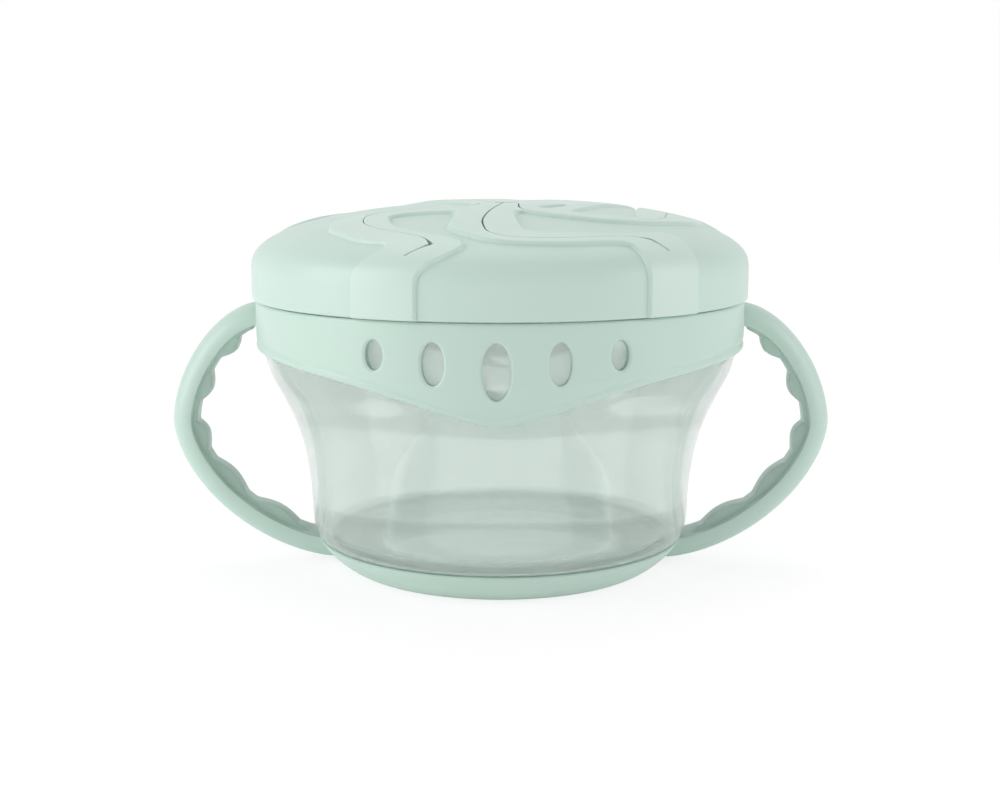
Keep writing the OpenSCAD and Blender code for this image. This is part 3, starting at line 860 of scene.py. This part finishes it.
def collar_place(flat, lift):
    angle = flat[:, 0] / collar_or
    r = collar_radius(flat[:, 1]) + lift
    return np.column_stack([r * np.sin(angle), -r * np.cos(angle), flat[:, 1]])


def above_lower_edge(flat):
    return flat[:, 1] - tip_z(collar_or * np.sin(flat[:, 0] / collar_or))


def collar_edge(flat):
    gap = np.minimum(above_lower_edge(flat), collar_top_z - flat[:, 1])
    for loop in windows:
        near = np.abs(flat[:, 0] - loop[:, 0].mean()) < near_window
        if near.any():
            gap[near] = np.minimum(gap[near], distance_to(flat[near], loop, closed=True))
    return gap


def collar_outer(flat):
    gap = np.clip(collar_edge(flat), 0, None)
    away = (above_lower_edge(flat) - groove_above) / groove_half
    groove = groove_depth * np.exp(-away ** 2)
    return collar_place(flat, -collar_drop * np.clip(1 - gap / collar_round, 0, 1) ** 2 - groove)


def collar_inner(flat):
    return collar_place(flat, np.full(len(flat), -collar_wall))


def window_rings(loop):
    middle = loop.mean(axis=0)
    out = loop - middle
    size = np.linalg.norm(out, axis=1)[:, None]
    return [middle + out * (1 + gap / size) for gap in window_gaps]


edge_gaps = (0.2, 0.4, 0.65)
window_gaps = edge_gaps + (1.1,)
groove_gaps = (1.0, 1.3, 1.55, 1.8, 2.1, 2.5, 3.0)
collar_step, clear_of_edges, clear_of_groove, clear_of_loop = 1.6, 1.5, 3.6, 0.12
fill = grid(collar_loop.min(axis=0), collar_loop.max(axis=0), collar_step)
edge_rows = np.vstack([bottom[2:-2] + [0, gap] for gap in edge_gaps + groove_gaps]
                      + [top[2:-2] - [0, gap] for gap in edge_gaps])
keep = ((collar_edge(fill) > clear_of_edges) & (above_lower_edge(fill) > clear_of_groove)
        & is_inside(fill, collar_loop))
fill = np.vstack([fill[keep], edge_rows]
                 + [ring for loop in windows for ring in window_rings(loop)])
for loop in windows:
    fill = fill[~is_inside(fill, loop)]
fill = fill[distance_to(fill, collar_loop, closed=True) > clear_of_loop]
flat, faces = triangulate(collar_loop, windows, fill)
collar_skin = shell("collar_skin", flat, faces, collar_outer, collar_inner, frame_plastic)


# %% [markdown]
# ## Handles
# Each handle is an arch from the collar down to the base ring. Its section is deeper from
# front to back than it is thick: rounded on the outer side, flat towards the cup, with a
# rounded rim along each side. A narrow fin runs along the flat, with five bumps that part a
# toddler's fingers. A bevelled curve has one section all along, and this one changes from
# place to place, so the bar is swept ring by ring.

# %% Handles
handle_reach, handle_wide_z, bar_top_z = 20.4, 33.0, 60.4
bar_round, bar_foot_r, bar_foot_z = 1.7, 38.0, 0.7
bar_t, bar_d = 5.0, 10.5
fin_w, fin_h, bump_h = 5.0, 0.9, 1.7
bump_places, bump_half = [0.40, 0.72, 1.13, 1.40, 1.66], 0.105
fin_start, fin_end, fin_fade = 0.10, 1.84, 0.06
fin_fillet, fin_crown = 0.25, 0.12
bar_out_r = collar_or + handle_reach
bar_rings, into_collar, into_ring = 300, -0.03, 1.97


def bar_outline(s):
    if s < 1:
        t = math.radians(90 * s)
        a, b, x0, sign = handle_reach, bar_top_z - handle_wide_z, collar_or, 1
    else:
        t = math.radians(90 * (2 - s))
        a, b, x0, sign = bar_out_r - bar_foot_r, handle_wide_z - bar_foot_z, bar_foot_r, -1
    return np.array([x0 + a * math.sin(t) ** (2 / bar_round),
                     handle_wide_z + sign * b * max(0, math.cos(t)) ** (2 / bar_round)])


def fin_rise(s):
    fade = min(1, max(0, (s - fin_start) / fin_fade), max(0, (fin_end - s) / fin_fade))
    fade = fade * fade * (3 - 2 * fade)
    bump = max(max(0, math.cos(math.pi / 2 * min(1, abs(s - p) / bump_half))) ** 0.9
               for p in bump_places)
    return fade * (fin_h + bump_h * bump)


outer_turn = np.radians(np.arange(90, -91, -7.5))
rim_turn = np.radians(np.arange(0, 91, 15))
rim_across, rim_y = 2.3, 4.95
upper_power, lower_power, squarer_over = 0.95, 0.75, 0.6
fin_y = [-3.6, -3.2, -2.95, -2.8, -2.65, -2.5, -2.3, -2.0, -1.5, -0.8, 0]
fin_y = fin_y + [-y for y in fin_y[-2::-1]]


def bar_section(rise, s):
    """Outline as (towards the cup, along Y): an outer side that is round near the collar and
    squarer near the base ring, two rims, and the fin."""
    low = min(1, max(0, (s - 1) / squarer_over))
    power = upper_power - (upper_power - lower_power) * low * low * (3 - 2 * low)
    made = [(rim_across - (bar_t / 2 + rim_across) * abs(math.cos(a)) ** power,
             bar_d / 2 * math.copysign(abs(math.sin(a)) ** power, math.sin(a)))
            for a in outer_turn]
    rim = [(rim_across + (bar_t / 2 - rim_across) * math.sin(a),
            rim_y + (bar_d / 2 - rim_y) * math.cos(a)) for a in rim_turn[1:]]
    made += [(across, -y) for across, y in rim]
    for y in fin_y:
        t = min(1, max(0, (fin_w / 2 + fin_fillet - abs(y)) / (2 * fin_fillet)))
        crown = 1 - fin_crown * min(1, abs(y) / (fin_w / 2)) ** 2
        made.append((bar_t / 2 + rise * crown * t * t * (3 - 2 * t), y))
    return made + rim[::-1]


def bar_mesh(name, side):
    """The bar's outline runs from s = 0 at the collar to 2 at the base ring. Its first rings
    lie on a straight line into the collar, as the outline itself only starts at 0."""
    starts = np.linspace(into_collar, into_ring, bar_rings)
    first_s, slope_s, straight = 0.005, 0.004, 40
    points = []
    for s in starts:
        s0 = max(s, first_s)
        middle = bar_outline(s0)
        along = bar_outline(s0 + slope_s) - bar_outline(s0 - slope_s)
        along /= np.linalg.norm(along)
        if s < first_s:
            middle = middle + along * (s - first_s) * straight
        inward = np.array([along[1], -along[0]])
        for across, y in bar_section(fin_rise(s), s):
            x, z = middle + inward * (bar_t / 2 + across)
            points.append((side * x, y, z))
    m = len(bar_section(1, 1))
    faces = []
    for i in range(len(starts) - 1):
        for j in range(m):
            a, b = i * m + j, i * m + (j + 1) % m
            faces.append([a, b, b + m, a + m] if side > 0 else [a, a + m, b + m, b])
    first = list(range(m))
    last = [(len(starts) - 1) * m + j for j in first]
    faces += [first[::-1], last] if side > 0 else [first, last[::-1]]
    piece = make_mesh(name, points, faces, frame_plastic)
    piece.data.set_sharp_from_angle(angle=math.radians(60))
    print(name, "has", len(faces), "faces")
    return piece


right_bar = bar_mesh("right_bar", 1)
left_bar = bar_mesh("left_bar", -1)

# %% [markdown]
# ## Floor
# The object stands on white paper that bends up into a backdrop. To the camera, and through
# the clear cup, most of the paper's light is its own, so that it looks white and still shows
# the object's shadow. To everything else it is matt paper with a faint glow, which stands for
# the light that a lit sweep throws back up.

# %% Floor
floor_front, floor_back, floor_half, curve_r, backdrop_top = -4.0, 0.9, 4.0, 0.5, 2.2


def floor_sheet():
    profile = [(floor_front, 0.0), (floor_back, 0.0)]
    profile += [(floor_back + curve_r * math.sin(a), curve_r - curve_r * math.cos(a))
                for a in np.radians(range(6, 91, 6))]
    profile += [(floor_back + curve_r, backdrop_top)]
    points = [(x, y, z) for y, z in profile for x in (-floor_half, floor_half)]
    faces = [[2 * i, 2 * i + 1, 2 * i + 3, 2 * i + 2] for i in range(len(profile) - 1)]
    mesh = bpy.data.meshes.new("floor")
    mesh.from_pydata(points, [], faces)
    mesh.polygons.foreach_set("use_smooth", np.ones(len(mesh.polygons), bool))
    piece = bpy.data.objects.new("floor", mesh)
    bpy.context.collection.objects.link(piece)
    return piece


floor = floor_sheet()
paper, tree = new_material("matt_white_paper")
matt = add_node(tree, "ShaderNodeBsdfPrincipled",
                {"Base Color": srgb("#f2f2f2"), "Roughness": 0.9,
                 "Emission Color": srgb("#ffffff"), "Emission Strength": 0.18})
bright = add_node(tree, "ShaderNodeEmission", {"Color": srgb("#ffffff"), "Strength": 1.05})
path = add_node(tree, "ShaderNodeLightPath")
seen = add_node(tree, "ShaderNodeMath", {"operation": "MAXIMUM"})
tree.links.new(path.outputs["Is Camera Ray"], seen.inputs[0])
tree.links.new(path.outputs["Is Transmission Ray"], seen.inputs[1])
share = add_node(tree, "ShaderNodeMath", {"operation": "MULTIPLY"})
tree.links.new(seen.outputs[0], share.inputs[0])
share.inputs[1].default_value = 0.68
mixed = add_node(tree, "ShaderNodeMixShader", None, {"Fac": share.outputs[0]})
tree.links.new(matt.outputs["BSDF"], mixed.inputs[1])
tree.links.new(bright.outputs["Emission"], mixed.inputs[2])
add_node(tree, "ShaderNodeOutputMaterial", None, {"Surface": mixed.outputs["Shader"]})
floor.data.materials.append(paper)

# %% [markdown]
# ## Light
# The light is plain and soft: a large panel on each side, the left one stronger, one from
# above, and a pale world. Lamps could be small and near, but their highlights on satin
# plastic would be small and hard, and the photograph shows none.

# %% Light
def panel(name, place, target, size, power):
    light = bpy.data.lights.new(name, "AREA")
    light.shape = "RECTANGLE"
    light.size, light.size_y = size
    light.energy = power
    lamp = bpy.data.objects.new(name, light)
    lamp.location = place
    away = np.array(place) - np.array(target)
    yaw = math.atan2(away[0], -away[1])
    pitch = math.atan2(np.hypot(away[0], away[1]), away[2])
    lamp.rotation_euler = (pitch, 0, yaw)
    bpy.context.collection.objects.link(lamp)


aim = (0, 0, 0.045)
panel("left_panel", (-0.92, -0.33, 0.36), aim, (0.8, 0.7), 5.1)
panel("right_panel", (0.95, -0.22, 0.36), aim, (0.7, 0.7), 3.0)
panel("top_panel", (0.0, 0.45, 1.05), aim, (0.9, 0.9), 2.5)
world = bpy.data.worlds.new("studio")
bpy.context.scene.world = world
world.use_nodes = True
background = world.node_tree.nodes["Background"]
background.inputs["Color"].default_value = srgb("#ffffff")
# The world looks white to the camera, but lights the object at about half that strength
sight = add_node(world.node_tree, "ShaderNodeLightPath")
glow = add_node(world.node_tree, "ShaderNodeMapRange", {"To Min": 0.54, "To Max": 1.0},
                {"Value": sight.outputs["Is Camera Ray"]})
world.node_tree.links.new(glow.outputs["Result"], background.inputs["Strength"])
bpy.context.scene.view_settings.view_transform = "Standard"
print("lit by three panels and a pale world")

# %% [markdown]
# ## What moves with what
# The frame stays, and the cup and the lid lift. A flap of the real lid bends at its root; here
# each flap's skin is baked in place, and its part in the CAD model is hidden.

# %% Bodies
for piece, body, nodes, slot in (
        (collar_skin, "frame", ["collar"], "mint_frame"),
        (base_ring_skin, "frame", ["base_ring"], "mint_frame"),
        (left_bar, "frame", ["left_handle"], "mint_frame"),
        (right_bar, "frame", ["right_handle"], "mint_frame"),
        (clear_cup, "cup", ["cup"], "clear_cup"),
        (lid_skin, "lid", ["lid_shell"], "mint_lid"),
        (seat_rib, "lid", [], "mint_lid"),
        (snap_bead, "lid", [], "mint_lid")):
    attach(piece, body)
    if nodes:
        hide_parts(*nodes)

for k, piece in enumerate(flap_skins):
    ends = dome_place(roots[k][[0, -1]], np.zeros(2))
    along = ends[1] - ends[0]
    middle = ends.mean(axis=0)
    inward = np.array([along[1], -along[0], 0]) / np.hypot(along[0], along[1])
    if inward @ -middle < 0:
        inward = -inward
    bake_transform(piece)
    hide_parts(f"flap_{k + 1}")
